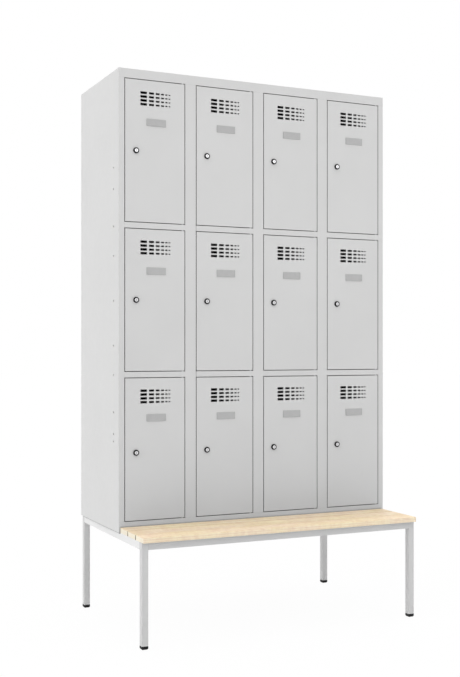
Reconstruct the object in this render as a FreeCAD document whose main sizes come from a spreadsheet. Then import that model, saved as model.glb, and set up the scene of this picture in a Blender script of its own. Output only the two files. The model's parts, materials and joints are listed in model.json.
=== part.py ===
import FreeCAD, Part
import os
from types import SimpleNamespace

import Sketcher

# A steel locker with twelve hinged doors, standing on the rear of a bench with three wooden slats.
# Millimetres: X to the right, Y to the back, Z up, from the floor under the middle of the object.

COLUMNS = 4
TIERS = 3
VENT_COLUMNS = 6
VENT_ROWS = 4
SLATS = ("rear", "middle", "front")

# Driving dimensions: name, value, meaning
SIZES = [
    ("cabinet_width", 1200, "locker across the front"),
    ("cabinet_depth", 500, "locker from front to back"),
    ("cabinet_height", 1800, "locker without the bench"),
    ("panel_sheet", 0.8, "sheet of the walls, floor, roof and shelves"),
    ("frame_sheet", 1.0, "sheet of the front frame"),
    ("door_sheet", 0.8, "sheet of the doors"),
    ("jamb_face", 23, "front frame beside an opening, half a mullion"),
    ("top_face", 36, "front frame above the top doors"),
    ("bottom_face", 40, "front frame below the bottom doors"),
    ("cross_face", 22, "front frame between two tiers"),
    ("frame_depth", 20, "front frame profiles, front to back"),
    ("stop_lip", 12, "lip that stops the door on its lock side"),
    ("joint_gap", 1.6, "open joint left of the cross rails in the second column"),
    ("door_gap", 3, "gap around a door"),
    ("stop_clearance", 1, "closed door to the stop lip"),
    ("stiffener_width", 32, "hat profile inside a door"),
    ("stiffener_depth", 12, "hat profile, front to back"),
    ("stiffener_brim", 7, "welding brim of the hat profile"),
    ("stiffener_inset", 24, "hat profile to the hinge edge of the door"),
    ("stiffener_end", 6, "hat profile to the door's upper and lower edge"),
    ("hinge_inset", 8, "hinge axis to the door's right edge"),
    ("hinge_setback", 5, "hinge axis behind the door's face"),
    ("pin_diameter", 5, "hinge pin"),
    ("pin_clearance", 0.05, "hinge pin in its holes, on the radius"),
    ("pin_reach", 8, "hinge pin inside the door"),
    ("pin_head_clearance", 0.3, "head of a hinge pin to the face of its rail"),
    ("pin_head_height", 1.5, "head of a hinge pin"),
    ("bearing_clearance", 0.3, "bearing collar to the door"),
    ("vent_left", 62.7, "door's left edge to the first vent slot"),
    ("vent_drop", 49, "door's top edge to the middle of the first row of slots"),
    ("vent_pitch", 15, "row to row"),
    ("vent_width", 27, "first slot of a row"),
    ("vent_width_ratio", 0.765, "width of a slot to the one on its left"),
    ("vent_height", 9.8, "first slot of a row"),
    ("vent_height_ratio", 0.86, "height of a slot to the one on its left"),
    ("vent_gap", 8.7, "space after the first slot of a row"),
    ("vent_gap_ratio", 0.86, "space after a slot to the space on its left"),
    ("label_width", 80, "card holder"),
    ("label_height", 28, "card holder"),
    ("label_thickness", 2.6, "card holder in front of the door"),
    ("label_recess", 0.8, "depth of the card's place"),
    ("label_rim", 2, "rim around the card"),
    ("label_offset", 4, "card holder to the right of the door's middle"),
    ("label_drop", 149, "door's top edge to the card holder"),
    ("low_label_drop", 141, "the same on the bottom tier"),
    ("lock_inset", 44.5, "door's left edge to the lock's axis"),
    ("lock_drop", 277, "door's top edge to the lock's axis"),
    ("low_lock_drop", 290, "the same on the bottom tier"),
    ("lock_clearance", 0.1, "plug in the housing and housing in the door, on the radius"),
    ("collar_step", 2.7, "lock collar wider than the housing behind it, on the radius"),
    ("collar_reach", 6, "lock collar in front of the door"),
    ("collar_bevel", 1.2, "front edge of the lock collar"),
    ("barrel_wall", 2, "lock housing around the plug"),
    ("lock_nut_wall", 4.1, "lock nut around the housing, to its corners"),
    ("lock_nut_height", 5, "lock nut"),
    ("plug_diameter", 13.5, "turning plug of the lock"),
    ("plug_proud", 0.4, "plug in front of the collar"),
    ("plug_tail", 1.5, "plug behind the housing"),
    ("key_slot_width", 1.6, "key slot"),
    ("key_slot_height", 8, "key slot"),
    ("key_slot_depth", 12, "key slot"),
    ("cam_clearance", 1.5, "cam behind the stop lip"),
    ("cam_tip_inset", 1.5, "tip of the cam, turned to the left, to the door's left edge"),
    ("cam_width", 14, "cam"),
    ("cam_thickness", 2, "cam"),
    ("cam_screw_diameter", 6, "screw that holds the cam"),
    ("cam_screw_head", 11, "head of that screw"),
    ("cam_screw_head_height", 3, "head of that screw"),
    ("cam_screw_length", 8, "that screw inside the plug"),
    ("link_diameter", 8, "holes in the side panels for a neighbouring locker"),
    ("link_setback", 62, "those holes behind the front"),
    ("link_near", 176, "first pair of holes from mid height"),
    ("link_rail", 291, "second pair"),
    ("link_far", 437, "third pair"),
    ("link_end", 522, "fourth pair"),
    ("link_low", 551, "single hole below mid height"),
    ("bench_height", 394, "floor to the top of the bench frame"),
    ("bench_inset", 6, "bench frame inside the locker's sides"),
    ("bench_rear_inset", 1, "bench frame in front of the locker's back"),
    ("tube", 25, "legs of the bench frame, and the width of its rails"),
    ("rail_height", 28, "rails and bars of the bench frame"),
    ("tube_wall", 1.5, "wall of the tubes"),
    ("middle_rail_setback", 30, "rail under the locker behind its front"),
    ("slat_width", 82, "bench slat"),
    ("slat_thickness", 20, "bench slat"),
    ("slat_gap", 7, "between two slats"),
    ("slat_rear_gap", 2, "rear slat to the locker"),
    ("slat_overhang", 16, "front slat in front of the bench frame"),
    ("slat_round", 2, "upper edges of a slat"),
    ("slat_screw_setback", 22, "screw to the rear edge of its slat"),
    ("screw_diameter", 5, "wood screw"),
    ("screw_bite", 13, "wood screw inside the slat"),
    ("screw_head_diameter", 9, "wood screw"),
    ("screw_head_height", 3, "wood screw"),
    ("screw_clearance", 0.1, "screws and bolts in their holes, on the radius"),
    ("bolt_diameter", 8, "bolt between locker and bench"),
    ("bolt_spread", 900, "left bolts to right bolts"),
    ("bolt_head_width", 15, "hexagon across its corners"),
    ("bolt_head_height", 5.3, "bolt head"),
    ("bolt_nut_height", 6.5, "nut under the rail"),
    ("bolt_tail", 2, "bolt below its nut"),
    ("foot_height", 13, "plastic foot below the leg"),
    ("foot_flare", 0.4, "foot outside the leg, on each side"),
    ("foot_round", 6.5, "lower edges of the foot"),
    ("foot_plug", 22, "foot inside the leg"),
    ("foot_clearance", 0.2, "foot in the tube, on each side"),
]


class Length:
    """A size bound to the sheet: the expression that gives it, and its present value."""

    def __init__(self, text, value):
        self.text = text
        self.value = value

    def __add__(self, other):
        other = length(other)
        return Length(f"({self.text} + {other.text})", self.value + other.value)

    def __sub__(self, other):
        other = length(other)
        return Length(f"({self.text} - {other.text})", self.value - other.value)

    def __mul__(self, other):
        other = length(other)
        return Length(f"({self.text} * {other.text})", self.value * other.value)

    def __truediv__(self, other):
        other = length(other)
        return Length(f"({self.text} / {other.text})", self.value / other.value)

    def __rsub__(self, other):
        return length(other) - self

    def __neg__(self):
        return Length(f"(-1 * {self.text})", -self.value)

    __radd__ = __add__
    __rmul__ = __mul__


def length(value):
    return value if isinstance(value, Length) else Length(str(value), value)


doc = FreeCAD.newDocument("locker_bench")
sheet = doc.addObject("Spreadsheet::Sheet", "Sizes")
size = SimpleNamespace()
for row, (name, value, meaning) in enumerate(SIZES, start=1):
    sheet.set(f"A{row}", name)
    sheet.set(f"B{row}", str(value))
    sheet.setAlias(f"B{row}", name)
    sheet.set(f"C{row}", meaning)
    setattr(size, name, Length(f"Sizes.{name}", value))
doc.recompute()

# Places that several pieces share
module = size.cabinet_width / COLUMNS
opening_width = module - 2 * size.jamb_face
rails_between = (TIERS - 1) * size.cross_face
opening_height = (size.cabinet_height - size.top_face - size.bottom_face - rails_between) / TIERS
door_width = opening_width - 2 * size.door_gap
door_height = opening_height - 2 * size.door_gap
door_depth = size.frame_depth - size.frame_sheet - size.stop_clearance
barrel_diameter = size.plug_diameter + 2 * size.lock_clearance + 2 * size.barrel_wall
cam_front = size.frame_depth + size.cam_clearance
barrel_length = cam_front - size.plug_tail
slat_pitch = size.slat_width + size.slat_gap
bench_reach = size.slat_rear_gap + len(SLATS) * slat_pitch - size.slat_gap
rear = (size.cabinet_depth + bench_reach) / 2
front = rear - size.cabinet_depth
left = -size.cabinet_width / 2
base = size.bench_height
frame_height = size.cabinet_height - size.top_face - size.bottom_face
inner_width = size.cabinet_width - 2 * size.panel_sheet
bench_left = left + size.bench_inset
bench_front = front - bench_reach + size.slat_overhang
bench_rear = rear - size.bench_rear_inset
rail_bottom = base - size.rail_height
middle_rail_front = front + size.middle_rail_setback
side_bar_starts = (bench_left, -size.tube / 2, -bench_left - size.tube)


def opening_left(column):
    return left + column * module + size.jamb_face


def opening_bottom(tier):
    return base + size.bottom_face + tier * (opening_height + size.cross_face)


# Document helpers

def bind(item, path, value):
    item.setExpression(path, length(value).text)


def place(item, x, y, z, rotation=None):
    if rotation:
        item.Placement.Rotation = rotation
    for axis, value in zip("xyz", (x, y, z)):
        bind(item, f"Placement.Base.{axis}", value)
    return item


TURN_TO = {
    "x": FreeCAD.Rotation(FreeCAD.Vector(0, 1, 0), 90),
    "y": FreeCAD.Rotation(FreeCAD.Vector(1, 0, 0), -90),
    "z": FreeCAD.Rotation(),
}
UPSIDE_DOWN = FreeCAD.Rotation(FreeCAD.Vector(1, 0, 0), 180)


def box(name, corner, sizes):
    item = doc.addObject("Part::Box", name)
    for path, value in zip(("Length", "Width", "Height"), sizes):
        bind(item, path, value)
    return place(item, *corner)


def rod(name, start, axis, diameter, reach):
    item = doc.addObject("Part::Cylinder", name)
    bind(item, "Radius", diameter / 2)
    bind(item, "Height", reach)
    return place(item, *start, TURN_TO[axis])


def hexagon(name, start, axis, corner_width, reach):
    item = doc.addObject("Part::Prism", name)
    item.Polygon = 6
    bind(item, "Circumradius", corner_width / 2)
    bind(item, "Height", reach)
    return place(item, *start, TURN_TO[axis])


def group(name, members):
    item = doc.addObject("Part::Compound", name)
    item.Links = members
    return item


def copy(name, master, x, y, z, rotation=None):
    return place(group(name, [master]), x, y, z, rotation)


def fuse(name, members):
    item = doc.addObject("Part::MultiFuse", name)
    item.Shapes = members
    return item


def cut(name, solid, tools):
    item = doc.addObject("Part::Cut", name)
    item.Base = solid
    item.Tool = tools[0] if len(tools) == 1 else group(f"{name}_tools", tools)
    return item


def new_sketch(body, role, name):
    sketch = body.newObject("Sketcher::SketchObject", name)
    plane = next(item for item in body.Origin.OriginFeatures if item.Role == role)
    sketch.AttachmentSupport = [(plane, "")]
    sketch.MapMode = "FlatFace"
    return sketch


def fix(sketch, kind, parts, value):
    index = sketch.addConstraint(Sketcher.Constraint(kind, *parts, length(value).value))
    bind(sketch, f"Constraints[{index}]", value)


def outline(sketch, corners):
    first = sketch.GeometryCount
    count = len(corners)
    points = [FreeCAD.Vector(length(u).value, length(v).value, 0) for u, v in corners]
    for i in range(count):
        sketch.addGeometry(Part.LineSegment(points[i], points[(i + 1) % count]), False)
    for i in range(count):
        ends = (first + i, 2, first + (i + 1) % count, 1)
        sketch.addConstraint(Sketcher.Constraint("Coincident", *ends))
    for i, (u, v) in enumerate(corners):
        fix(sketch, "DistanceX", (-1, 1, first + i, 1), u)
        fix(sketch, "DistanceY", (-1, 1, first + i, 1), v)


def rectangle(sketch, u, v, width, height):
    outline(sketch, [(u, v), (u + width, v), (u + width, v + height), (u, v + height)])


def circle(sketch, u, v, diameter):
    centre = FreeCAD.Vector(length(u).value, length(v).value, 0)
    shape = Part.Circle(centre, FreeCAD.Vector(0, 0, 1), diameter.value / 2)
    number = sketch.addGeometry(shape, False)
    fix(sketch, "DistanceX", (-1, 1, number, 3), u)
    fix(sketch, "DistanceY", (-1, 1, number, 3), v)
    fix(sketch, "Diameter", (number,), diameter)


def pad(body, sketch, reach, reverse=False):
    item = body.newObject("PartDesign::Pad", f"{sketch.Name}_pad")
    item.Profile = sketch
    item.Reversed = reverse
    bind(item, "Length", reach)
    return item


def pocket(body, sketch, reach):
    item = body.newObject("PartDesign::Pocket", f"{sketch.Name}_pocket")
    item.Profile = sketch
    bind(item, "Length", reach)
    return item


def profile(name, role, corners, reach):
    """A folded sheet or a bar: one outline, drawn out along its length."""
    body = doc.addObject("PartDesign::Body", name)
    sketch = new_sketch(body, role, f"{name}_outline")
    outline(sketch, corners)
    pad(body, sketch, reach)
    return body


def round_edges(body, name, chosen, radius):
    """Rounds the edges of a body's last feature that are chosen by their boxes."""
    block = body.Tip
    doc.recompute()
    lines = enumerate(block.Shape.Edges, start=1)
    edges = [f"Edge{index}" for index, line in lines if chosen(line.BoundBox)]
    rounding = body.newObject("PartDesign::Fillet", name)
    rounding.Base = (block, edges)
    bind(rounding, "Radius", radius)


def turned(name, corners):
    """A turned piece: half its outline, as distance along Y and radius, revolved about Y."""
    body = doc.addObject("PartDesign::Body", name)
    sketch = new_sketch(body, "YZ_Plane", f"{name}_outline")
    outline(sketch, corners)
    item = body.newObject("PartDesign::Revolution", f"{name}_turn")
    item.Profile = sketch
    item.ReferenceAxis = (sketch, ["H_Axis"])
    item.Angle = 360
    return body


# Walls, floor, roof and shelves

def side_panel(name, x):
    plate_sizes = (size.panel_sheet, size.cabinet_depth, size.cabinet_height)
    plate = box(f"{name}_plate", (x, front, base), plate_sizes)
    levels = [length(0), -size.link_low]
    for level in (size.link_near, size.link_rail, size.link_far, size.link_end):
        levels += [level, -level]
    holes = []
    for number, level in enumerate(levels):
        start = (x - size.panel_sheet, front + size.link_setback, base + size.cabinet_height / 2 + level)
        reach = 3 * size.panel_sheet
        holes.append(rod(f"{name}_hole_{number}", start, "x", size.link_diameter, reach))
    return cut(name, plate, holes)


def flat_panel(name, z):
    corner = (left + size.panel_sheet, front + size.frame_sheet, z)
    depth = size.cabinet_depth - size.frame_sheet - size.panel_sheet
    return box(name, corner, (inner_width, depth, size.panel_sheet))


def bolt_places():
    rows = (middle_rail_front + size.tube / 2, bench_rear - size.tube / 2)
    return [(side * size.bolt_spread / 2, y) for y in rows for side in (-1, 1)]


def floor_panel():
    holes = []
    for number, (x, y) in enumerate(bolt_places()):
        start = (x, y, base - size.panel_sheet)
        diameter = size.bolt_diameter + 2 * size.screw_clearance
        holes.append(rod(f"floor_hole_{number}", start, "z", diameter, 3 * size.panel_sheet))
    return cut("floor_panel", flat_panel("floor_plate", base), holes)


def back_panel():
    corner = (left + size.panel_sheet, rear - size.panel_sheet, base)
    return box("back_panel", corner, (inner_width, size.panel_sheet, size.cabinet_height))


def partition_panels():
    back = size.cabinet_depth - size.panel_sheet
    roof = size.cabinet_height - size.panel_sheet
    corners = [
        (size.frame_sheet, size.bottom_face),
        (size.frame_depth, size.bottom_face),
        (size.frame_depth, size.panel_sheet),
        (back, size.panel_sheet),
        (back, roof),
        (size.frame_depth, roof),
        (size.frame_depth, size.cabinet_height - size.top_face),
        (size.frame_sheet, size.cabinet_height - size.top_face),
    ]
    panels = []
    for number in range(1, COLUMNS):
        panel = profile(f"partition_{number}", "YZ_Plane", corners, size.panel_sheet)
        x = left + number * module - size.panel_sheet / 2
        panels.append(place(panel, x, front, base))
    return group("partition_panels", panels)


def shelves():
    plates = []
    depth = size.cabinet_depth - size.frame_depth - size.panel_sheet
    for tier in range(1, TIERS):
        for column in range(COLUMNS):
            left_wall = size.panel_sheet if column == 0 else size.panel_sheet / 2
            right_wall = size.panel_sheet if column == COLUMNS - 1 else size.panel_sheet / 2
            corner = (
                left + column * module + left_wall,
                front + size.frame_depth,
                opening_bottom(tier) - size.panel_sheet,
            )
            width = module - left_wall - right_wall
            plates.append(box(f"shelf_{tier}_{column}", corner, (width, depth, size.panel_sheet)))
    return group("shelves", plates)


# Front frame

def left_jamb():
    web = size.jamb_face - size.panel_sheet
    lip = size.frame_depth - size.frame_sheet
    corners = [
        (0, 0),
        (web, 0),
        (web, lip),
        (web + size.stop_lip, lip),
        (web + size.stop_lip, size.frame_depth),
        (web - size.frame_sheet, size.frame_depth),
        (web - size.frame_sheet, size.frame_sheet),
        (0, size.frame_sheet),
    ]
    jamb = profile("left_jamb", "XY_Plane", corners, frame_height)
    return place(jamb, left + size.panel_sheet, front, base + size.bottom_face)


def right_jamb():
    edge = size.jamb_face - size.panel_sheet
    corners = [
        (0, 0),
        (edge, 0),
        (edge, size.frame_sheet),
        (size.frame_sheet, size.frame_sheet),
        (size.frame_sheet, size.frame_depth),
        (0, size.frame_depth),
    ]
    jamb = profile("right_jamb", "XY_Plane", corners, frame_height)
    return place(jamb, -left - size.jamb_face, front, base + size.bottom_face)


def mullions():
    face = 2 * size.jamb_face
    lip = size.frame_depth - size.frame_sheet
    corners = [
        (0, 0),
        (face, 0),
        (face, lip),
        (face + size.stop_lip, lip),
        (face + size.stop_lip, size.frame_depth),
        (face - size.frame_sheet, size.frame_depth),
        (face - size.frame_sheet, size.frame_sheet),
        (size.frame_sheet, size.frame_sheet),
        (size.frame_sheet, size.frame_depth),
        (0, size.frame_depth),
    ]
    posts = []
    for number in range(1, COLUMNS):
        post = profile(f"mullion_{number}", "XY_Plane", corners, frame_height)
        x = left + number * module - size.jamb_face
        posts.append(place(post, x, front, base + size.bottom_face))
    return group("mullions", posts)


def hinge_x(column):
    return opening_left(column) + opening_width - size.door_gap - size.hinge_inset


def pin_hole(name, column, z):
    diameter = size.pin_diameter + 2 * size.pin_clearance
    start = (hinge_x(column), front + size.hinge_setback, z - size.frame_sheet)
    return rod(name, start, "z", diameter, 3 * size.frame_sheet)


def long_rail(name, corners, z, hole_z):
    """A rail across the whole front, with the holes of the hinge pins beside it."""
    rail = profile(f"{name}_profile", "YZ_Plane", corners, inner_width)
    place(rail, left + size.panel_sheet, front, z)
    return cut(name, rail, [pin_hole(f"{name}_hole_{column}", column, hole_z) for column in range(COLUMNS)])


def top_rail():
    roof_flange = size.top_face - size.panel_sheet
    z = base + size.cabinet_height - size.top_face
    corners = [
        (0, 0),
        (size.frame_depth, 0),
        (size.frame_depth, size.frame_sheet),
        (size.frame_sheet, size.frame_sheet),
        (size.frame_sheet, roof_flange - size.frame_sheet),
        (size.frame_depth, roof_flange - size.frame_sheet),
        (size.frame_depth, roof_flange),
        (size.frame_sheet, roof_flange),
        (size.frame_sheet, size.top_face),
        (0, size.top_face),
    ]
    return long_rail("top_rail", corners, z, z)


def bottom_rail():
    floor_flange = size.panel_sheet
    door_flange = size.bottom_face - size.frame_sheet
    corners = [
        (0, 0),
        (size.frame_sheet, 0),
        (size.frame_sheet, floor_flange),
        (size.frame_depth, floor_flange),
        (size.frame_depth, floor_flange + size.frame_sheet),
        (size.frame_sheet, floor_flange + size.frame_sheet),
        (size.frame_sheet, door_flange),
        (size.frame_depth, door_flange),
        (size.frame_depth, size.bottom_face),
        (0, size.bottom_face),
    ]
    return long_rail("bottom_rail", corners, base, base + door_flange)


def cross_rails():
    depth = size.frame_depth - size.frame_sheet
    corners = [
        (0, 0),
        (depth, 0),
        (depth, size.frame_sheet),
        (size.frame_sheet, size.frame_sheet),
        (size.frame_sheet, size.cross_face - size.frame_sheet),
        (depth, size.cross_face - size.frame_sheet),
        (depth, size.cross_face),
        (0, size.cross_face),
    ]
    rails = []
    for tier in range(1, TIERS):
        for column in range(COLUMNS):
            name = f"cross_rail_{tier}_{column}"
            joint = size.joint_gap if column == 1 else length(0)
            rail = profile(f"{name}_profile", "YZ_Plane", corners, opening_width - joint)
            top = opening_bottom(tier)
            place(rail, opening_left(column) + joint, front, top - size.cross_face)
            lower_hole = pin_hole(f"{name}_lower_hole", column, top - size.cross_face)
            upper_hole = pin_hole(f"{name}_upper_hole", column, top - size.frame_sheet)
            rails.append(cut(name, rail, [lower_hole, upper_hole]))
    return group("cross_rails", rails)


def hinge_pins():
    """Pins with a head inside the rail and a bearing collar between rail and door."""
    head_start = -size.frame_sheet - size.pin_head_height
    head_diameter = 2 * (size.hinge_setback - size.frame_sheet - size.pin_head_clearance)
    shank = size.frame_sheet + size.door_gap + size.pin_reach
    collar = size.door_gap - size.bearing_clearance
    head = rod("pin_head", (0, 0, head_start), "z", head_diameter, size.pin_head_height)
    shaft = rod("pin_shaft", (0, 0, -size.frame_sheet), "z", size.pin_diameter, shank)
    ring = rod("pin_collar", (0, 0, 0), "z", head_diameter, collar)
    pin = fuse("pin_master", [head, shaft, ring])
    pins = []
    for tier in range(TIERS):
        for column in range(COLUMNS):
            x = hinge_x(column)
            y = front + size.hinge_setback
            low = opening_bottom(tier)
            pins.append(copy(f"lower_pin_{tier}_{column}", pin, x, y, low))
            pins.append(copy(f"upper_pin_{tier}_{column}", pin, x, y, low + opening_height, UPSIDE_DOWN))
    return group("hinge_pins", pins)


# Doors: modelled once for the upper tiers and once for the bottom tier, from their lower left corner

def vent_slots():
    """Left edge, width and height of each slot in a row: they shrink towards the hinge."""
    slots = []
    start = size.vent_left
    width = size.vent_width
    height = size.vent_height
    gap = size.vent_gap
    for _ in range(VENT_COLUMNS):
        slots.append((start, width, height))
        start = start + width + gap
        width = width * size.vent_width_ratio
        height = height * size.vent_height_ratio
        gap = gap * size.vent_gap_ratio
    return slots


def door_pan(name, lock_drop):
    pan = doc.addObject("PartDesign::Body", f"{name}_pan")
    face = new_sketch(pan, "XZ_Plane", f"{name}_face")
    rectangle(face, 0, 0, door_width, door_height)
    pad(pan, face, door_depth, reverse=True)

    hollow = new_sketch(pan, "XZ_Plane", f"{name}_hollow")
    bind(hollow, "AttachmentOffset.Base.z", -size.door_sheet)
    hollow_width = door_width - 2 * size.door_sheet
    hollow_height = door_height - 2 * size.door_sheet
    rectangle(hollow, size.door_sheet, size.door_sheet, hollow_width, hollow_height)
    pocket(pan, hollow, door_depth)

    lock_hole = new_sketch(pan, "XZ_Plane", f"{name}_lock_hole")
    hole_diameter = barrel_diameter + 2 * size.lock_clearance
    circle(lock_hole, size.lock_inset, door_height - lock_drop, hole_diameter)
    pocket(pan, lock_hole, 2 * size.door_sheet)

    hinge_hole = new_sketch(pan, "XY_Plane", f"{name}_hinge_hole")
    pin_bore = size.pin_diameter + 2 * size.pin_clearance
    circle(hinge_hole, door_width - size.hinge_inset, size.hinge_setback, pin_bore)
    through = pocket(pan, hinge_hole, door_height)
    through.Reversed = True

    lowest_row = door_height - size.vent_drop - (VENT_ROWS - 1) * size.vent_pitch
    row = new_sketch(pan, "XZ_Plane", f"{name}_vent_row")
    for start, width, height in vent_slots():
        rectangle(row, start, lowest_row - height / 2, width, height)
    slots = pocket(pan, row, 2 * size.door_sheet)
    rows = pan.newObject("PartDesign::LinearPattern", f"{name}_vents")
    rows.Originals = [slots]
    rows.Direction = (row, ["V_Axis"])
    rows.Occurrences = VENT_ROWS
    bind(rows, "Length", (VENT_ROWS - 1) * size.vent_pitch)
    pan.Tip = rows
    return pan


def door_stiffener(name):
    brim = size.stiffener_brim
    width = size.stiffener_width
    crown = size.stiffener_depth
    sheet_metal = size.door_sheet
    corners = [
        (0, 0),
        (brim + sheet_metal, 0),
        (brim + sheet_metal, crown - sheet_metal),
        (width - brim - sheet_metal, crown - sheet_metal),
        (width - brim - sheet_metal, 0),
        (width, 0),
        (width, sheet_metal),
        (width - brim, sheet_metal),
        (width - brim, crown),
        (brim, crown),
        (brim, sheet_metal),
        (0, sheet_metal),
    ]
    reach = door_height - 2 * size.stiffener_end
    hat = profile(f"{name}_stiffener", "XY_Plane", corners, reach)
    return place(hat, door_width - size.stiffener_inset - width, size.door_sheet, size.stiffener_end)


def door_master(name, lock_drop):
    return group(name, [door_pan(name, lock_drop), door_stiffener(name)])


def label_holder():
    """A card holder, open at the top, from its lower left corner on the door's face."""
    plate_sizes = (size.label_width, size.label_thickness, size.label_height)
    plate = box("label_plate", (0, -size.label_thickness, 0), plate_sizes)
    recess_corner = (size.label_rim, -2 * size.label_thickness, size.label_rim)
    recess_width = size.label_width - 2 * size.label_rim
    recess_sizes = (recess_width, size.label_thickness + size.label_recess, size.label_height)
    return cut("label_holder", plate, [box("label_recess_tool", recess_corner, recess_sizes)])


# Locks: modelled once, from the lock's axis on the door's face

def lock_housing():
    bore = size.plug_diameter / 2 + size.lock_clearance
    barrel = barrel_diameter / 2
    collar = barrel + size.collar_step
    housing = turned("lock_housing", [
        (-size.collar_reach, bore),
        (-size.collar_reach, collar - size.collar_bevel),
        (size.collar_bevel - size.collar_reach, collar),
        (0, collar),
        (0, barrel),
        (barrel_length, barrel),
        (barrel_length, bore),
    ])
    nut_start = (0, size.door_sheet, 0)
    nut_width = barrel_diameter + 2 * size.lock_nut_wall
    nut_bore = barrel_diameter + 2 * size.lock_clearance
    block = hexagon("lock_nut_block", nut_start, "y", nut_width, size.lock_nut_height)
    bore_reach = 2 * (size.door_sheet + size.lock_nut_height)
    nut = cut("lock_nut", block, [rod("lock_nut_bore", (0, 0, 0), "y", nut_bore, bore_reach)])
    return group("lock_fixed_pieces", [housing, nut])


def lock_cylinder():
    """The turning pieces: plug with its key slot, cam pointing down, and the cam's screw."""
    face = -size.collar_reach - size.plug_proud
    cylinder = rod("plug_cylinder", (0, face, 0), "y", size.plug_diameter, cam_front - face)
    slot_corner = (-size.key_slot_width / 2, face - size.plug_proud, -size.key_slot_height / 2)
    slot_sizes = (size.key_slot_width, size.key_slot_depth + size.plug_proud, size.key_slot_height)
    slot = box("key_slot", slot_corner, slot_sizes)
    thread_start = (0, cam_front - size.cam_screw_length, 0)
    thread = rod("plug_thread", thread_start, "y", size.cam_screw_diameter, 2 * size.cam_screw_length)
    plug = cut("lock_plug", cylinder, [slot, thread])

    cam_length = size.lock_inset - size.cam_tip_inset
    arm_corner = (-size.cam_width / 2, cam_front, -cam_length)
    arm = box("cam_arm", arm_corner, (size.cam_width, size.cam_thickness, cam_length))
    eye = rod("cam_eye", (0, cam_front, 0), "y", size.cam_width, size.cam_thickness)
    hole_start = (0, cam_front - size.cam_thickness, 0)
    hole = rod("cam_hole", hole_start, "y", size.cam_screw_diameter, 3 * size.cam_thickness)
    cam = cut("lock_cam", fuse("cam_blank", [arm, eye]), [hole])

    head_start = (0, cam_front + size.cam_thickness, 0)
    head = rod("cam_screw_top", head_start, "y", size.cam_screw_head, size.cam_screw_head_height)
    shank_reach = size.cam_screw_length + size.cam_thickness
    shank = rod("cam_screw_shank", thread_start, "y", size.cam_screw_diameter, shank_reach)
    return group("lock_turning_pieces", [plug, cam, fuse("cam_screw", [head, shank])])


def lockers():
    """Door, fixed fittings and turning lock of each compartment, numbered in rows from the top left."""
    upper_door = door_master("upper_door", size.lock_drop)
    lower_door = door_master("lower_door", size.low_lock_drop)
    holder = label_holder()
    fixed = lock_housing()
    turning = lock_cylinder()
    nodes = []
    for tier in range(TIERS):
        door = upper_door if tier else lower_door
        lock_drop = size.lock_drop if tier else size.low_lock_drop
        label_drop = size.label_drop if tier else size.low_label_drop
        for column in range(COLUMNS):
            number = f"{(TIERS - 1 - tier) * COLUMNS + column + 1:02d}"
            x = opening_left(column) + size.door_gap
            z = opening_bottom(tier) + size.door_gap
            lock_x = x + size.lock_inset
            lock_z = z + door_height - lock_drop
            label_x = x + door_width / 2 + size.label_offset - size.label_width / 2
            label_z = z + door_height - label_drop - size.label_height
            nodes.append(copy(f"door_{number}", door, x, front, z))
            nodes.append(group(f"door_fittings_{number}", [
                copy(f"card_holder_{number}", holder, label_x, front, label_z),
                copy(f"lock_body_{number}", fixed, lock_x, front, lock_z),
            ]))
            nodes.append(copy(f"lock_cylinder_{number}", turning, lock_x, front, lock_z))
    return nodes


# Bench

def tube(name, corner, sizes, axis):
    """A tube of square or oblong section, open at both ends of its axis."""
    outer = box(f"{name}_outside", corner, sizes)
    inner_corner = []
    inner_sizes = []
    for direction, start, reach in zip("xyz", corner, sizes):
        wall = -size.tube_wall if direction == axis else size.tube_wall
        inner_corner.append(start + wall)
        inner_sizes.append(reach - 2 * wall)
    return cut(name, outer, [box(f"{name}_inside", inner_corner, inner_sizes)])


def leg_corners():
    right = -bench_left - size.tube
    return [(x, y) for y in (bench_front, bench_rear - size.tube) for x in (bench_left, right)]


def bench_legs():
    sizes = (size.tube, size.tube, base - size.foot_height)
    legs = []
    for number, (x, y) in enumerate(leg_corners()):
        legs.append(tube(f"leg_{number}", (x, y, size.foot_height), sizes, "z"))
    return group("bench_legs", legs)


def leg_feet():
    """Plastic feet: a square glide, rounded towards the floor, and a plug inside the tube."""
    half = size.tube / 2
    width = size.tube + 2 * size.foot_flare
    corners = [(0, 0), (width, 0), (width, width), (0, width)]
    glide = profile("foot_glide", "XY_Plane", corners, size.foot_height)
    middle = size.foot_height.value / 2
    round_edges(glide, "foot_rounding", lambda edge: edge.ZMax < middle, size.foot_round)
    place(glide, -width / 2, -width / 2, 0)
    plug_half = half - size.tube_wall - size.foot_clearance
    plug_corner = (-plug_half, -plug_half, size.foot_height)
    plug = box("foot_inner_plug", plug_corner, (2 * plug_half, 2 * plug_half, size.foot_plug))
    foot = fuse("foot_master", [glide, plug])
    feet = []
    for number, (x, y) in enumerate(leg_corners()):
        feet.append(copy(f"foot_{number}", foot, x + half, y + half, 0))
    return group("leg_feet", feet)


def drilled(name, rail, places, diameter):
    """A rail with holes through both its walls."""
    reach = 3 * size.rail_height
    bore = diameter + 2 * size.screw_clearance
    holes = []
    for number, (x, y) in enumerate(places):
        start = (x, y, rail_bottom - size.rail_height)
        holes.append(rod(f"{name}_hole_{number}", start, "z", bore, reach))
    return cut(name, rail, holes)


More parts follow.
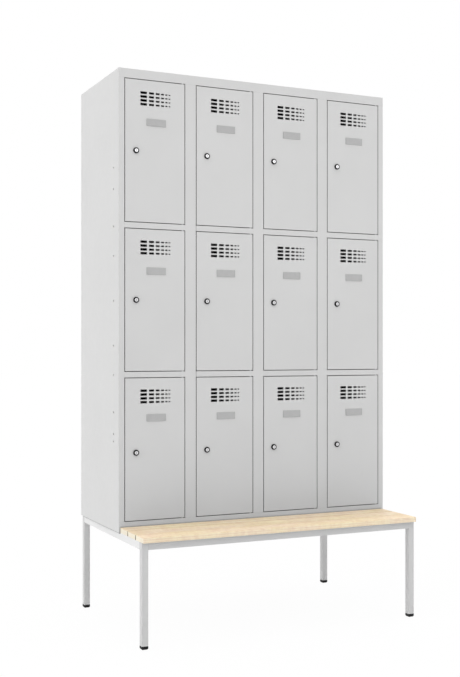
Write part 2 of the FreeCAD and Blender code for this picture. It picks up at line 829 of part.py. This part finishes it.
def bench_long_rails():
    start = bench_left + size.tube
    sizes = (-2 * start, size.tube, size.rail_height)
    middle_bolts = bolt_places()[:2]
    rear_bolts = bolt_places()[2:]
    front_rail = tube("front_rail", (start, bench_front, rail_bottom), sizes, "x")
    middle_tube = tube("middle_tube", (start, middle_rail_front, rail_bottom), sizes, "x")
    rear_tube = tube("rear_tube", (start, bench_rear - size.tube, rail_bottom), sizes, "x")
    middle_rail = drilled("middle_rail", middle_tube, middle_bolts, size.bolt_diameter)
    rear_rail = drilled("rear_rail", rear_tube, rear_bolts, size.bolt_diameter)
    return group("bench_long_rails", [front_rail, middle_rail, rear_rail])


def slat_rear_edge(number):
    return front - size.slat_rear_gap - number * slat_pitch


def screw_places(bar_start):
    x = bar_start + size.tube / 2
    return [(x, slat_rear_edge(number) - size.slat_screw_setback) for number in range(len(SLATS))]


def bar(name, bar_start, end):
    start = bench_front + size.tube
    corner = (bar_start, start, rail_bottom)
    plain = tube(f"{name}_tube", corner, (size.tube, end - start, size.rail_height), "y")
    return drilled(name, plain, screw_places(bar_start), size.screw_diameter)


def bench_side_rails():
    left_start, _, right_start = side_bar_starts
    end = bench_rear - size.tube
    return group("bench_side_rails", [bar("left_rail", left_start, end), bar("right_rail", right_start, end)])


def slat(number, name):
    """A slat with rounded upper edges and blind holes for its screws."""
    edge = slat_rear_edge(number)
    corners = [
        (0, 0),
        (size.slat_width, 0),
        (size.slat_width, size.slat_thickness),
        (0, size.slat_thickness),
    ]
    wood = profile(f"{name}_wood", "YZ_Plane", corners, -2 * bench_left)
    middle = size.slat_thickness.value / 2
    round_edges(wood, f"{name}_rounding", lambda edge: edge.ZMin > middle, size.slat_round)
    place(wood, bench_left, edge - size.slat_width, base)
    bore = size.screw_diameter + 2 * size.screw_clearance
    holes = []
    for bar_start in side_bar_starts:
        x, y = screw_places(bar_start)[number]
        start = (x, y, base - size.screw_bite)
        holes.append(rod(f"{name}_hole_{len(holes)}", start, "z", bore, 2 * size.screw_bite))
    return cut(name, wood, holes)


def slat_screws():
    """Wood screws, driven from below through the bars into the slats."""
    head_start = (0, 0, rail_bottom - size.screw_head_height)
    head = rod("screw_head", head_start, "z", size.screw_head_diameter, size.screw_head_height)
    shank_reach = size.rail_height + size.screw_bite
    shank = rod("screw_shank", (0, 0, rail_bottom), "z", size.screw_diameter, shank_reach)
    screw = fuse("screw_master", [head, shank])
    screws = []
    for bar_start in side_bar_starts:
        for x, y in screw_places(bar_start):
            screws.append(copy(f"screw_{len(screws)}", screw, x, y, 0))
    return group("slat_screws", screws)


def cabinet_bolts():
    """Bolts through the locker's floor and a bench rail, with their nuts below the rail."""
    nut_bottom = rail_bottom - size.bolt_nut_height
    head_start = (0, 0, base + size.panel_sheet)
    head = hexagon("bolt_head", head_start, "z", size.bolt_head_width, size.bolt_head_height)
    shank_bottom = nut_bottom - size.bolt_tail
    shank_reach = base + size.panel_sheet - shank_bottom
    shank = rod("bolt_shank", (0, 0, shank_bottom), "z", size.bolt_diameter, shank_reach)
    bolt = fuse("bolt_master", [head, shank])
    nut_block = hexagon("bolt_nut_block", (0, 0, nut_bottom), "z", size.bolt_head_width, size.bolt_nut_height)
    nut_bore = rod(
        "bolt_nut_bore",
        (0, 0, nut_bottom - size.bolt_tail),
        "z",
        size.bolt_diameter + 2 * size.screw_clearance,
        size.bolt_nut_height + 2 * size.bolt_tail,
    )
    nut = cut("bolt_nut", nut_block, [nut_bore])
    pair = group("bolt_pair", [bolt, nut])
    bolts = [copy(f"bolt_{number}", pair, x, y, 0) for number, (x, y) in enumerate(bolt_places())]
    return group("cabinet_bolts", bolts)


def all_nodes():
    roof_z = base + size.cabinet_height - size.panel_sheet
    nodes = [
        side_panel("left_side_panel", left),
        side_panel("right_side_panel", -left - size.panel_sheet),
        partition_panels(),
        back_panel(),
        flat_panel("roof_panel", roof_z),
        floor_panel(),
        shelves(),
        left_jamb(),
        right_jamb(),
        mullions(),
        top_rail(),
        bottom_rail(),
        cross_rails(),
        hinge_pins(),
        bench_legs(),
        leg_feet(),
        bench_long_rails(),
        bench_side_rails(),
        bar("bench_cross_bar", side_bar_starts[1], middle_rail_front),
        slat_screws(),
        cabinet_bolts(),
    ]
    for number, name in enumerate(SLATS):
        nodes.append(slat(number, f"{name}_slat"))
    return nodes + lockers()


nodes = all_nodes()
doc.recompute()

for item in doc.Objects:
    if "Invalid" in item.State or "Error" in item.State:
        raise RuntimeError(f"{item.Name} failed: {item.State}")
for node in nodes:
    if node.Shape.isNull() or not node.Shape.isValid():
        raise RuntimeError(f"{node.Label} has no valid shape")

os.makedirs("parts", exist_ok=True)
for node in nodes:
    node.Shape.exportStep(f"parts/{node.Label}.step")
print(len(nodes), "nodes,", sum(len(node.Shape.Solids) for node in nodes), "solids")
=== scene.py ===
import json
import math

import bmesh
import bpy
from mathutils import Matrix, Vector

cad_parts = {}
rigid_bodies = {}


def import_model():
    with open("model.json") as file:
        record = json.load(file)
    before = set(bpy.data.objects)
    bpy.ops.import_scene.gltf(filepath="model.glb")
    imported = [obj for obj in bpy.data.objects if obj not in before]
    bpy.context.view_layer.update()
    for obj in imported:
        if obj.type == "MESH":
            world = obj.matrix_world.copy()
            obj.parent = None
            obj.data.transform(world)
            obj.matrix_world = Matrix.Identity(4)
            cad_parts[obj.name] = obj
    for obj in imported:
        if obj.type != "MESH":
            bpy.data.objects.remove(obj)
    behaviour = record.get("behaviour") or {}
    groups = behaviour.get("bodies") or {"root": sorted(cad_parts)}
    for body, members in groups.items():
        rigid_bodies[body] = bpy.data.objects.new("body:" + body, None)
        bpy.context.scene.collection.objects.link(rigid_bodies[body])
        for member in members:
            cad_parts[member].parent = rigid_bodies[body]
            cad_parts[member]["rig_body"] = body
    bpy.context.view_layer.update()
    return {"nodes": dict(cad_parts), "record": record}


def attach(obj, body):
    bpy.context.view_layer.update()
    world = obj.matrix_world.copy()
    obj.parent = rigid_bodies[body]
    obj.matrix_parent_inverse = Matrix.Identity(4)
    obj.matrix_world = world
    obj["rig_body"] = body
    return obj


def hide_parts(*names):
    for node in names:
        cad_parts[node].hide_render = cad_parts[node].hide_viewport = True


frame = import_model()
nodes = frame["nodes"]
slot_of = {row["node"]: row["material_slot"] for row in frame["record"]["subparts"]}
scene = bpy.context.scene

MM = 0.001

# Camera, where the photograph was taken from

CAMERA_PLACE = (-1.9472, -4.1134, 1.103)
CAMERA_TILT_DEG = 90.0
CAMERA_YAW_DEG = 25.08
LENS_MM = 57.62
SENSOR_MM = 36.0
SHIFT_X = -0.0164
SHIFT_Y = 0.0162


def make_camera():
    data = bpy.data.cameras.new("camera")
    data.sensor_width = SENSOR_MM
    data.lens = LENS_MM
    data.shift_x = SHIFT_X
    data.shift_y = SHIFT_Y
    camera = bpy.data.objects.new("camera", data)
    camera.location = CAMERA_PLACE
    camera.rotation_euler = (math.radians(CAMERA_TILT_DEG), 0, -math.radians(CAMERA_YAW_DEG))
    scene.collection.objects.link(camera)
    scene.camera = camera


# Materials

# Values between which most of a noise lies
NOISE_SPAN = (0.3, 0.7)
WHOLE_SPAN = (0.0, 1.0)
# Cosines between which a face passes from turned to looking straight along an axis
FACING_SPAN = (0.99, 0.9999)
OPENNESS_SAMPLES = 8


def tint(colour, factor):
    return tuple(channel * factor for channel in colour)


class Finish:
    """A node material under construction, laid out in the object's own coordinates."""

    def __init__(self, name, metallic=0.0, specular=0.5):
        self.material = bpy.data.materials.new(name)
        self.material.use_nodes = True
        self.tree = self.material.node_tree
        self.shader = self.tree.nodes["Principled BSDF"]
        self.shader.inputs["Metallic"].default_value = metallic
        self.shader.inputs["Specular IOR Level"].default_value = specular
        self.place = self.node("TexCoord").outputs["Object"]

    def node(self, kind):
        return self.tree.nodes.new(f"ShaderNode{kind}")

    def link(self, source, target):
        self.tree.links.new(source, target)

    def stretched(self, scale, move):
        node = self.node("Mapping")
        node.inputs["Location"].default_value = move
        node.inputs["Scale"].default_value = scale
        self.link(self.place, node.inputs["Vector"])
        return node.outputs["Vector"]

    def noise(self, scale, detail=2.0, place=None):
        node = self.node("TexNoise")
        node.inputs["Scale"].default_value = scale
        node.inputs["Detail"].default_value = detail
        self.link(place or self.place, node.inputs["Vector"])
        return node.outputs["Fac"]

    def rings(self, scale, distortion, detail, detail_scale, place):
        """Growth rings about the length, which is X."""
        node = self.node("TexWave")
        node.wave_type = "RINGS"
        node.rings_direction = "X"
        node.inputs["Scale"].default_value = scale
        node.inputs["Distortion"].default_value = distortion
        node.inputs["Detail"].default_value = detail
        node.inputs["Detail Scale"].default_value = detail_scale
        self.link(place, node.inputs["Vector"])
        return node.outputs["Fac"]

    def spread(self, value, low, high, span=NOISE_SPAN):
        """The value's span laid out from low to high."""
        node = self.node("MapRange")
        node.inputs["From Min"].default_value = span[0]
        node.inputs["From Max"].default_value = span[1]
        node.inputs["To Min"].default_value = low
        node.inputs["To Max"].default_value = high
        self.link(value, node.inputs["Value"])
        return node.outputs["Result"]

    def ramp(self, value, stops):
        node = self.node("ValToRGB")
        elements = node.color_ramp.elements
        for position, _ in stops[1:-1]:
            elements.new(position)
        for element, (position, colour) in zip(elements, stops):
            element.position = position
            element.color = (*colour, 1)
        self.link(value, node.inputs["Fac"])
        return node.outputs["Color"]

    def shades(self, noise, colour, darkest, lightest):
        """From the darkest to the lightest share of a colour, as a noise says."""
        return self.ramp(noise, list(zip(NOISE_SPAN, (tint(colour, darkest), tint(colour, lightest)))))

    def sum(self, first, second, share):
        """first plus a share of second."""
        node = self.node("Math")
        node.operation = "MULTIPLY_ADD"
        node.inputs[1].default_value = share
        self.link(second, node.inputs[0])
        self.link(first, node.inputs[2])
        return node.outputs["Value"]

    def openness(self, reach):
        """1 on an open surface, less where another surface is within reach."""
        node = self.node("AmbientOcclusion")
        node.samples = OPENNESS_SAMPLES
        node.inputs["Distance"].default_value = reach
        return node.outputs["AO"]

    def facing(self, axis):
        """1 on flat faces that look along an axis, either way, otherwise 0."""
        split = self.node("SeparateXYZ")
        self.link(self.node("NewGeometry").outputs["Normal"], split.inputs["Vector"])
        turned = self.node("Math")
        turned.operation = "ABSOLUTE"
        self.link(split.outputs[axis], turned.inputs[0])
        return self.spread(turned.outputs["Value"], 0, 1, FACING_SPAN)

    def scaled(self, colour, factor):
        node = self.node("VectorMath")
        node.operation = "SCALE"
        self.link(colour, node.inputs["Vector"])
        self.link(factor, node.inputs["Scale"])
        return node.outputs["Vector"]

    def mixed(self, factor, first, second, kind="FLOAT"):
        """first where factor is 0, second where it is 1; a plain value is set on its socket."""
        node = self.node("Mix")
        node.data_type = kind
        sockets = {socket.name: socket for socket in node.inputs if socket.enabled}
        self.link(factor, sockets["Factor"])
        for socket, source in ((sockets["A"], first), (sockets["B"], second)):
            if isinstance(source, bpy.types.NodeSocket):
                self.link(source, socket)
            else:
                socket.default_value = source
        return next(socket for socket in node.outputs if socket.enabled)

    def bump(self, height, depth, strength):
        node = self.node("Bump")
        node.inputs["Distance"].default_value = depth
        node.inputs["Strength"].default_value = strength
        self.link(height, node.inputs["Height"])
        self.link(node.outputs["Normal"], self.shader.inputs["Normal"])

    def colour(self, source):
        self.link(source, self.shader.inputs["Base Color"])

    def roughness(self, source):
        self.link(source, self.shader.inputs["Roughness"])


# Reach of the painted shade in joints, gaps and under edges
PAINTED_SHADE_REACH = 7 * MM


def powder_coat(name, colour, painted_shade_span=WHOLE_SPAN, darkest=0.2):
    """Baked paint: an even colour with a fine orange-peel skin, with painted shade in joints and under
    edges.

    The shade span gives the openness at which the painted shade is darkest and the one at which it is clear
    again, and darkest the share of the colour that is left there."""
    finish = Finish(name)
    even = finish.shades(finish.noise(scale=4.0, detail=3.0), colour, darkest=0.985, lightest=1.015)
    # Painted shade: the colour darkens where another surface is near
    shade = finish.spread(finish.openness(PAINTED_SHADE_REACH), low=darkest, high=1, span=painted_shade_span)
    finish.colour(finish.scaled(even, shade))
    finish.roughness(finish.spread(finish.noise(scale=35.0), low=0.38, high=0.5))
    peel = finish.noise(scale=650.0, detail=1.0)
    grit = finish.noise(scale=2600.0, detail=1.0)
    finish.bump(finish.sum(peel, grit, share=0.3), depth=0.3 * MM, strength=0.12)
    return finish.material


# Layers of the grain, added to the growth rings one after the other
GRAIN = {
    "fibres": {"scale": 520.0, "stretch": (0.02, 1, 1), "detail": 3.0, "share": 0.8},
    "streaks": {"scale": 70.0, "stretch": (0.04, 1, 1), "detail": 2.0, "share": 1.0},
    "flecks": {"scale": 150.0, "stretch": (0.3, 1, 1), "detail": 2.0, "share": 1.6},
    "ripples": {"scale": 75.0, "stretch": (1, 0.3, 0.3), "detail": 2.0, "share": 2.0},
    "clouds": {"scale": 16.0, "stretch": (0.7, 1, 1), "detail": 2.0, "share": 1.6},
}
GRAIN_SPAN = (3.2, 4.8)
RING_STRETCH = (0.05, 1, 1)
HEART_STRETCH = (0.5, 1, 1)
HEART_SPAN = (0.4, 0.6)
# Dark, middle and light wood
TONE_STOPS = (0.0, 0.5, 1.0)
HONEY = ((0.79, 0.595, 0.365), (0.87, 0.70, 0.45), (0.93, 0.81, 0.54))
ROSE = ((0.78, 0.57, 0.405), (0.865, 0.68, 0.485), (0.925, 0.785, 0.57))
# Painted light: share of a pale wood colour mixed onto the sawn ends, X, and the sides, Y
PAINTED_LIGHT_WOOD = (0.93, 0.87, 0.72, 1)
PAINTED_LIGHT_SHARES = {"X": 0.8, "Y": 0.28}
# Painted shade on the slats' sides in the gaps between them
GAP_REACH = 20 * MM
GAP_SPAN = (0.4, 0.95)
GAP_DARKEST = 0.08
BOUNCE_GREY = (0.58, 0.58, 0.58, 1)


def wood(name, move, tone):
    """Pale planed softwood: growth rings about the length, fine fibres, flecks and planing ripples,
    in a honey and a rose tone, under a thin varnish."""
    finish = Finish(name)
    grain = finish.rings(
        scale=55.0, distortion=3.0, detail=2.0, detail_scale=12.0,
        place=finish.stretched(RING_STRETCH, move),
    )
    layers = {}
    for title, layer in GRAIN.items():
        place = finish.stretched(layer["stretch"], move)
        layers[title] = finish.noise(layer["scale"], layer["detail"], place)
        grain = finish.sum(grain, layers[title], layer["share"])
    shade = finish.spread(grain, 0, 1, GRAIN_SPAN)
    honey, rose = (
        finish.ramp(shade, [(stop, tint(colour, tone)) for stop, colour in zip(TONE_STOPS, colours)])
        for colours in (HONEY, ROSE)
    )
    heart = finish.noise(scale=11.0, detail=2.0, place=finish.stretched(HEART_STRETCH, move))
    figure = finish.mixed(finish.spread(heart, 0, 1, HEART_SPAN), honey, rose, "RGBA")
    # Painted light: the sawn ends and sides are made paler; painted shade: the sides are darkened between
    # two slats
    for axis, share in PAINTED_LIGHT_SHARES.items():
        pale = finish.spread(finish.facing(axis), 0, share, WHOLE_SPAN)
        figure = finish.mixed(pale, figure, PAINTED_LIGHT_WOOD, "RGBA")
    gap = finish.spread(finish.openness(GAP_REACH), GAP_DARKEST, 1, GAP_SPAN)
    figure = finish.scaled(figure, finish.mixed(finish.facing("Y"), 1.0, gap))
    # What the slats throw on the doors stays grey
    thrown = finish.node("LightPath").outputs["Is Diffuse Ray"]
    finish.colour(finish.mixed(thrown, figure, BOUNCE_GREY, "RGBA"))
    finish.roughness(finish.spread(layers["fibres"], low=0.42, high=0.58))
    finish.bump(layers["fibres"], depth=0.4 * MM, strength=0.25)
    return finish.material


def plastic(name, colour, rough, specular=0.5, change=0.1):
    """Moulded plastic with a fine spark-eroded texture, whose colour changes by a share either way."""
    finish = Finish(name, specular=specular)
    finish.colour(finish.shades(finish.noise(scale=60.0), colour, darkest=1 - change, lightest=1 + change))
    finish.roughness(finish.spread(finish.noise(scale=180.0), *rough))
    finish.bump(finish.noise(scale=1800.0, detail=2.0), depth=0.2 * MM, strength=0.15)
    return finish.material


def metal(name, colour, rough, grain):
    """Bare or plated metal with fine tooling marks."""
    finish = Finish(name, metallic=1.0)
    marks = finish.noise(scale=grain, detail=3.0)
    finish.colour(finish.shades(marks, colour, darkest=0.93, lightest=1.0))
    finish.roughness(finish.spread(marks, *rough))
    finish.bump(marks, depth=0.1 * MM, strength=0.08)
    return finish.material


LIGHT_GREY = (0.69, 0.69, 0.688)
BENCH_GREY = (0.66, 0.66, 0.66)
# Painted light: the side rails get a grey 1.25 times the bench's, lighter for how the light falls on them
SIDE_RAIL_PAINTED_LIGHT_GREY = tint(BENCH_GREY, 1.25)
CARD_GREY = (0.47, 0.47, 0.47)
BLACK = (0.008, 0.008, 0.009)
CHROME = (0.80, 0.80, 0.81)
ZINC = (0.72, 0.73, 0.75)
# Every coat carries painted shade where another surface is near, the doors' in their gaps
finishes = {
    "powder_coat": powder_coat("powder_coat_frame", LIGHT_GREY),
    "door_coat": powder_coat("powder_coat_door", LIGHT_GREY, painted_shade_span=(0.15, 0.6)),
    "bench_paint": powder_coat("powder_coat_bench", BENCH_GREY),
    # Painted light and shade: the lighter side-rail grey, with a near-black painted shade line under the
    # locker's edge
    "bench_side_painted_light_and_shade": powder_coat(
        "powder_coat_bench_side_painted_light_and_shade", SIDE_RAIL_PAINTED_LIGHT_GREY, painted_shade_span=(0.7, 1.0), darkest=0.03,
    ),
    "black_plastic": plastic("moulded_black", BLACK, rough=(0.5, 0.65), specular=0.2),
    "lock_black": plastic("lock_black", BLACK, rough=(0.42, 0.55), specular=0.2),
    "lock_chrome": metal("bright_chrome", CHROME, rough=(0.16, 0.28), grain=900.0),
    "zinc_steel": metal("zinc_plating", ZINC, rough=(0.25, 0.4), grain=500.0),
    "card_grey": plastic("card_holder_grey", CARD_GREY, rough=(0.38, 0.5), change=0.02),
}
# Place in the trunk and tone of each slat; the tone is painted shade and light: the rear slat darker beside
# the cabinet, the front slat lighter
BOARDS = {
    "rear_slat": {"move": (0.1, 0.18, -0.36), "tone": 0.94},
    "middle_slat": {"move": (1.3, 0.29, -0.37), "tone": 1.0},
    "front_slat": {"move": (2.7, 0.31, -0.34), "tone": 1.08},
}


def paint_nodes():
    for name, item in nodes.items():
        if name in BOARDS:
            finish = wood(f"wood_{name}", **BOARDS[name])
        elif name == "bench_side_rails":
            # The side rails take the painted light and shade finish
            finish = finishes["bench_side_painted_light_and_shade"]
        else:
            finish = finishes[slot_of[name]]
        item.data.materials.clear()
        item.data.materials.append(finish)


# Card holders and locks: each solid of a fitting becomes a piece with its own finish and rounded edges

SHARP_DEG = 35.0
FLAT_DEG = 1.0
PIECE_ROUND_STEPS = 3
ROUND_PROFILE = 0.5
PLACE_DIGITS = 6
# A solid is told from the others of its node by the measure in which it is the largest
FITTINGS = {
    "door_fittings": {
        "card_holder": {"finish": "card_grey", "round_mm": 0.3, "measure": lambda low, high: high.x - low.x},
        "lock_housing": {"finish": "lock_black", "round_mm": 0.5, "measure": lambda low, high: -low.y},
        "lock_nut": {"finish": "zinc_steel", "round_mm": 0.4, "measure": lambda low, high: high.y},
    },
    "lock_cylinder": {
        "lock_plug": {"finish": "lock_chrome", "round_mm": 0.4, "measure": lambda low, high: -low.y},
        "lock_cam": {"finish": "zinc_steel", "round_mm": 0.3, "measure": lambda low, high: high.z - low.z},
        "cam_screw": {"finish": "zinc_steel", "round_mm": 0.4, "measure": lambda low, high: high.y},
    },
}


def solids_of(source):
    """The solids of a CAD node, one after the other: a solid is whole once none of its edges is open."""
    mesh = source.data
    shapes = []
    shape = bmesh.new()
    corner_at = {}
    open_edges = set()
    for face in mesh.polygons:
        places = []
        for index in face.vertices:
            place = tuple(round(value, PLACE_DIGITS) for value in mesh.vertices[index].co)
            if place not in corner_at:
                corner_at[place] = shape.verts.new(place)
            places.append(place)
        if len(set(places)) == len(places):
            shape.faces.new([corner_at[place] for place in places])
        for first, second in zip(places, places[1:] + places[:1]):
            open_edges ^= {frozenset((first, second))}
        if not open_edges:
            shapes.append(shape)
            shape = bmesh.new()
            corner_at = {}
    shape.free()
    return shapes


def corners_of(shape):
    """Lowest and highest corner of a solid's box."""
    places = [vert.co for vert in shape.verts]
    low = Vector([min(place[axis] for place in places) for axis in range(3)])
    high = Vector([max(place[axis] for place in places) for axis in range(3)])
    return low, high


def rounded_piece(name, shape, round_mm, finish):
    bmesh.ops.dissolve_limit(shape, angle_limit=math.radians(FLAT_DEG), verts=shape.verts, edges=shape.edges)
    sharp_angle = math.radians(SHARP_DEG)
    sharp = [edge for edge in shape.edges if edge.is_manifold and edge.calc_face_angle() > sharp_angle]
    bmesh.ops.bevel(
        shape, geom=sharp, offset=round_mm * MM, offset_type="OFFSET", segments=PIECE_ROUND_STEPS,
        profile=ROUND_PROFILE, affect="EDGES", clamp_overlap=True,
    )
    mesh = bpy.data.meshes.new(name)
    shape.to_mesh(mesh)
    shape.free()
    mesh.shade_smooth()
    mesh.set_sharp_from_angle(angle=sharp_angle)
    mesh.materials.append(finish)
    piece = bpy.data.objects.new(name, mesh)
    scene.collection.objects.link(piece)
    return piece


def make_fittings():
    for kind, solids in FITTINGS.items():
        for node in sorted(name for name in nodes if name.startswith(kind)):
            number = node[-2:]
            shapes = solids_of(nodes[node])
            for title, solid in solids.items():
                shape = max(shapes, key=lambda shape: solid["measure"](*corners_of(shape)))
                shapes.remove(shape)
                finish = solid["finish"]
                piece = rounded_piece(f"{title}_{number}", shape, solid["round_mm"], finishes[finish])
                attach(piece, nodes[node]["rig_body"])
                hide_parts(node)


# Small rounds on the edges of sheets, tubes and slats

ROUNDS_MM = {
    "powder_coat": 0.35, "door_coat": 0.35, "bench_paint": 0.7,
    "slat_wood": 0.8, "black_plastic": 1.0, "zinc_steel": 0.3,
}
WELD_MM = 0.01
EDGE_DEG = 40.0
EDGE_ROUND_STEPS = 2


def round_edges(item, round_mm):
    weld = item.modifiers.new("weld", "WELD")
    weld.merge_threshold = WELD_MM * MM
    flat = item.modifiers.new("flat", "DECIMATE")
    flat.decimate_type = "DISSOLVE"
    flat.angle_limit = math.radians(FLAT_DEG)
    bevel = item.modifiers.new("round", "BEVEL")
    bevel.width = round_mm * MM
    bevel.segments = EDGE_ROUND_STEPS
    bevel.limit_method = "ANGLE"
    bevel.angle_limit = math.radians(EDGE_DEG)
    item.modifiers.new("normals", "WEIGHTED_NORMAL")


def round_nodes():
    """Rounds every CAD node that still shows."""
    for name, item in nodes.items():
        if not item.hide_render:
            round_edges(item, ROUNDS_MM[slot_of[name]])


# Studio: pale floor, white surroundings and soft lights

WHITE = (1, 1, 1, 1)
ZENITH_LIGHT = 1.51
FLOOR_REACH = 40.0
FLOOR_GREY = (0.93, 0.93, 0.93, 1)
FLOOR_WHITE = 0.96


def seen_directly(tree):
    """1 for rays that come from the camera or from a mirror or glass, otherwise 0."""
    rays = tree.nodes.new("ShaderNodeLightPath")
    total = rays.outputs["Is Camera Ray"]
    for kind in ("Is Glossy Ray", "Is Transmission Ray"):
        node = tree.nodes.new("ShaderNodeMath")
        node.operation = "MAXIMUM"
        tree.links.new(total, node.inputs[0])
        tree.links.new(rays.outputs[kind], node.inputs[1])
        total = node.outputs["Value"]
    return total


def mix_shaders(tree, factor, first, second, output):
    """Sends the first shader to the output where factor is 0, and the second where it is 1."""
    mix = tree.nodes.new("ShaderNodeMixShader")
    tree.links.new(factor, mix.inputs["Fac"])
    tree.links.new(first.outputs[0], mix.inputs[1])
    tree.links.new(second.outputs[0], mix.inputs[2])
    tree.links.new(mix.outputs["Shader"], tree.nodes[output].inputs["Surface"])


def make_world():
    """Soft light that grows from nothing at the horizon to the zenith, with a white backdrop."""
    world = bpy.data.worlds.new("studio")
    scene.world = world
    world.use_nodes = True
    tree = world.node_tree
    direction = tree.nodes.new("ShaderNodeTexCoord")
    split = tree.nodes.new("ShaderNodeSeparateXYZ")
    tree.links.new(direction.outputs["Generated"], split.inputs["Vector"])
    rise = tree.nodes.new("ShaderNodeMapRange")
    rise.inputs["To Max"].default_value = ZENITH_LIGHT
    tree.links.new(split.outputs["Z"], rise.inputs["Value"])
    lighting = tree.nodes["Background"]
    lighting.inputs["Color"].default_value = WHITE
    tree.links.new(rise.outputs["Result"], lighting.inputs["Strength"])
    backdrop = tree.nodes.new("ShaderNodeBackground")
    backdrop.inputs["Color"].default_value = WHITE
    mix_shaders(tree, seen_directly(tree), lighting, backdrop, "World Output")


def make_floor():
    """A pale matt floor that is almost white to the eye and keeps a faint shadow."""
    mesh = bpy.data.meshes.new("floor")
    signs = ((-1, -1), (1, -1), (1, 1), (-1, 1))
    corners = [(across * FLOOR_REACH, along * FLOOR_REACH, 0) for across, along in signs]
    mesh.from_pydata(corners, [], [(0, 1, 2, 3)])
    floor = bpy.data.objects.new("floor", mesh)
    scene.collection.objects.link(floor)
    material = bpy.data.materials.new("pale_floor")
    material.use_nodes = True
    tree = material.node_tree
    tree.nodes.remove(tree.nodes["Principled BSDF"])
    matt = tree.nodes.new("ShaderNodeBsdfDiffuse")
    matt.inputs["Color"].default_value = FLOOR_GREY
    white = tree.nodes.new("ShaderNodeEmission")
    white.inputs["Color"].default_value = WHITE
    share = tree.nodes.new("ShaderNodeMath")
    share.operation = "MULTIPLY"
    share.inputs[1].default_value = FLOOR_WHITE
    tree.links.new(seen_directly(tree), share.inputs[0])
    mix_shaders(tree, share.outputs["Value"], matt, white, "Material Output")
    mesh.materials.append(material)


def turned_along(direction):
    """Rotation of a lamp that shines along a direction."""
    return Vector(direction).to_track_quat("-Z", "Y").to_euler()


def soft_light(name, place, aim, width, height, power):
    data = bpy.data.lights.new(name, "AREA")
    data.shape = "RECTANGLE"
    data.size = width
    data.size_y = height
    data.energy = power
    lamp = bpy.data.objects.new(name, data)
    lamp.location = place
    lamp.rotation_euler = turned_along(Vector(aim) - Vector(place))
    scene.collection.objects.link(lamp)


def soft_sun(name, toward, spread_deg, strength):
    data = bpy.data.lights.new(name, "SUN")
    data.angle = math.radians(spread_deg)
    data.energy = strength
    lamp = bpy.data.objects.new(name, data)
    lamp.rotation_euler = turned_along(-Vector(toward))
    scene.collection.objects.link(lamp)


paint_nodes()
make_fittings()
round_nodes()
make_camera()
make_world()
make_floor()
soft_sun("left", toward=(-0.65, -0.1, 0.75), spread_deg=25.0, strength=0.38)
soft_sun("low_left", toward=(-1.0, -0.05, 0.06), spread_deg=20.0, strength=0.36)
soft_light("front", place=(0.2, -2.3, 2.3), aim=(0.1, 0, 2.2), width=5.0, height=1.0, power=8.2)
scene.view_settings.view_transform = "Standard"
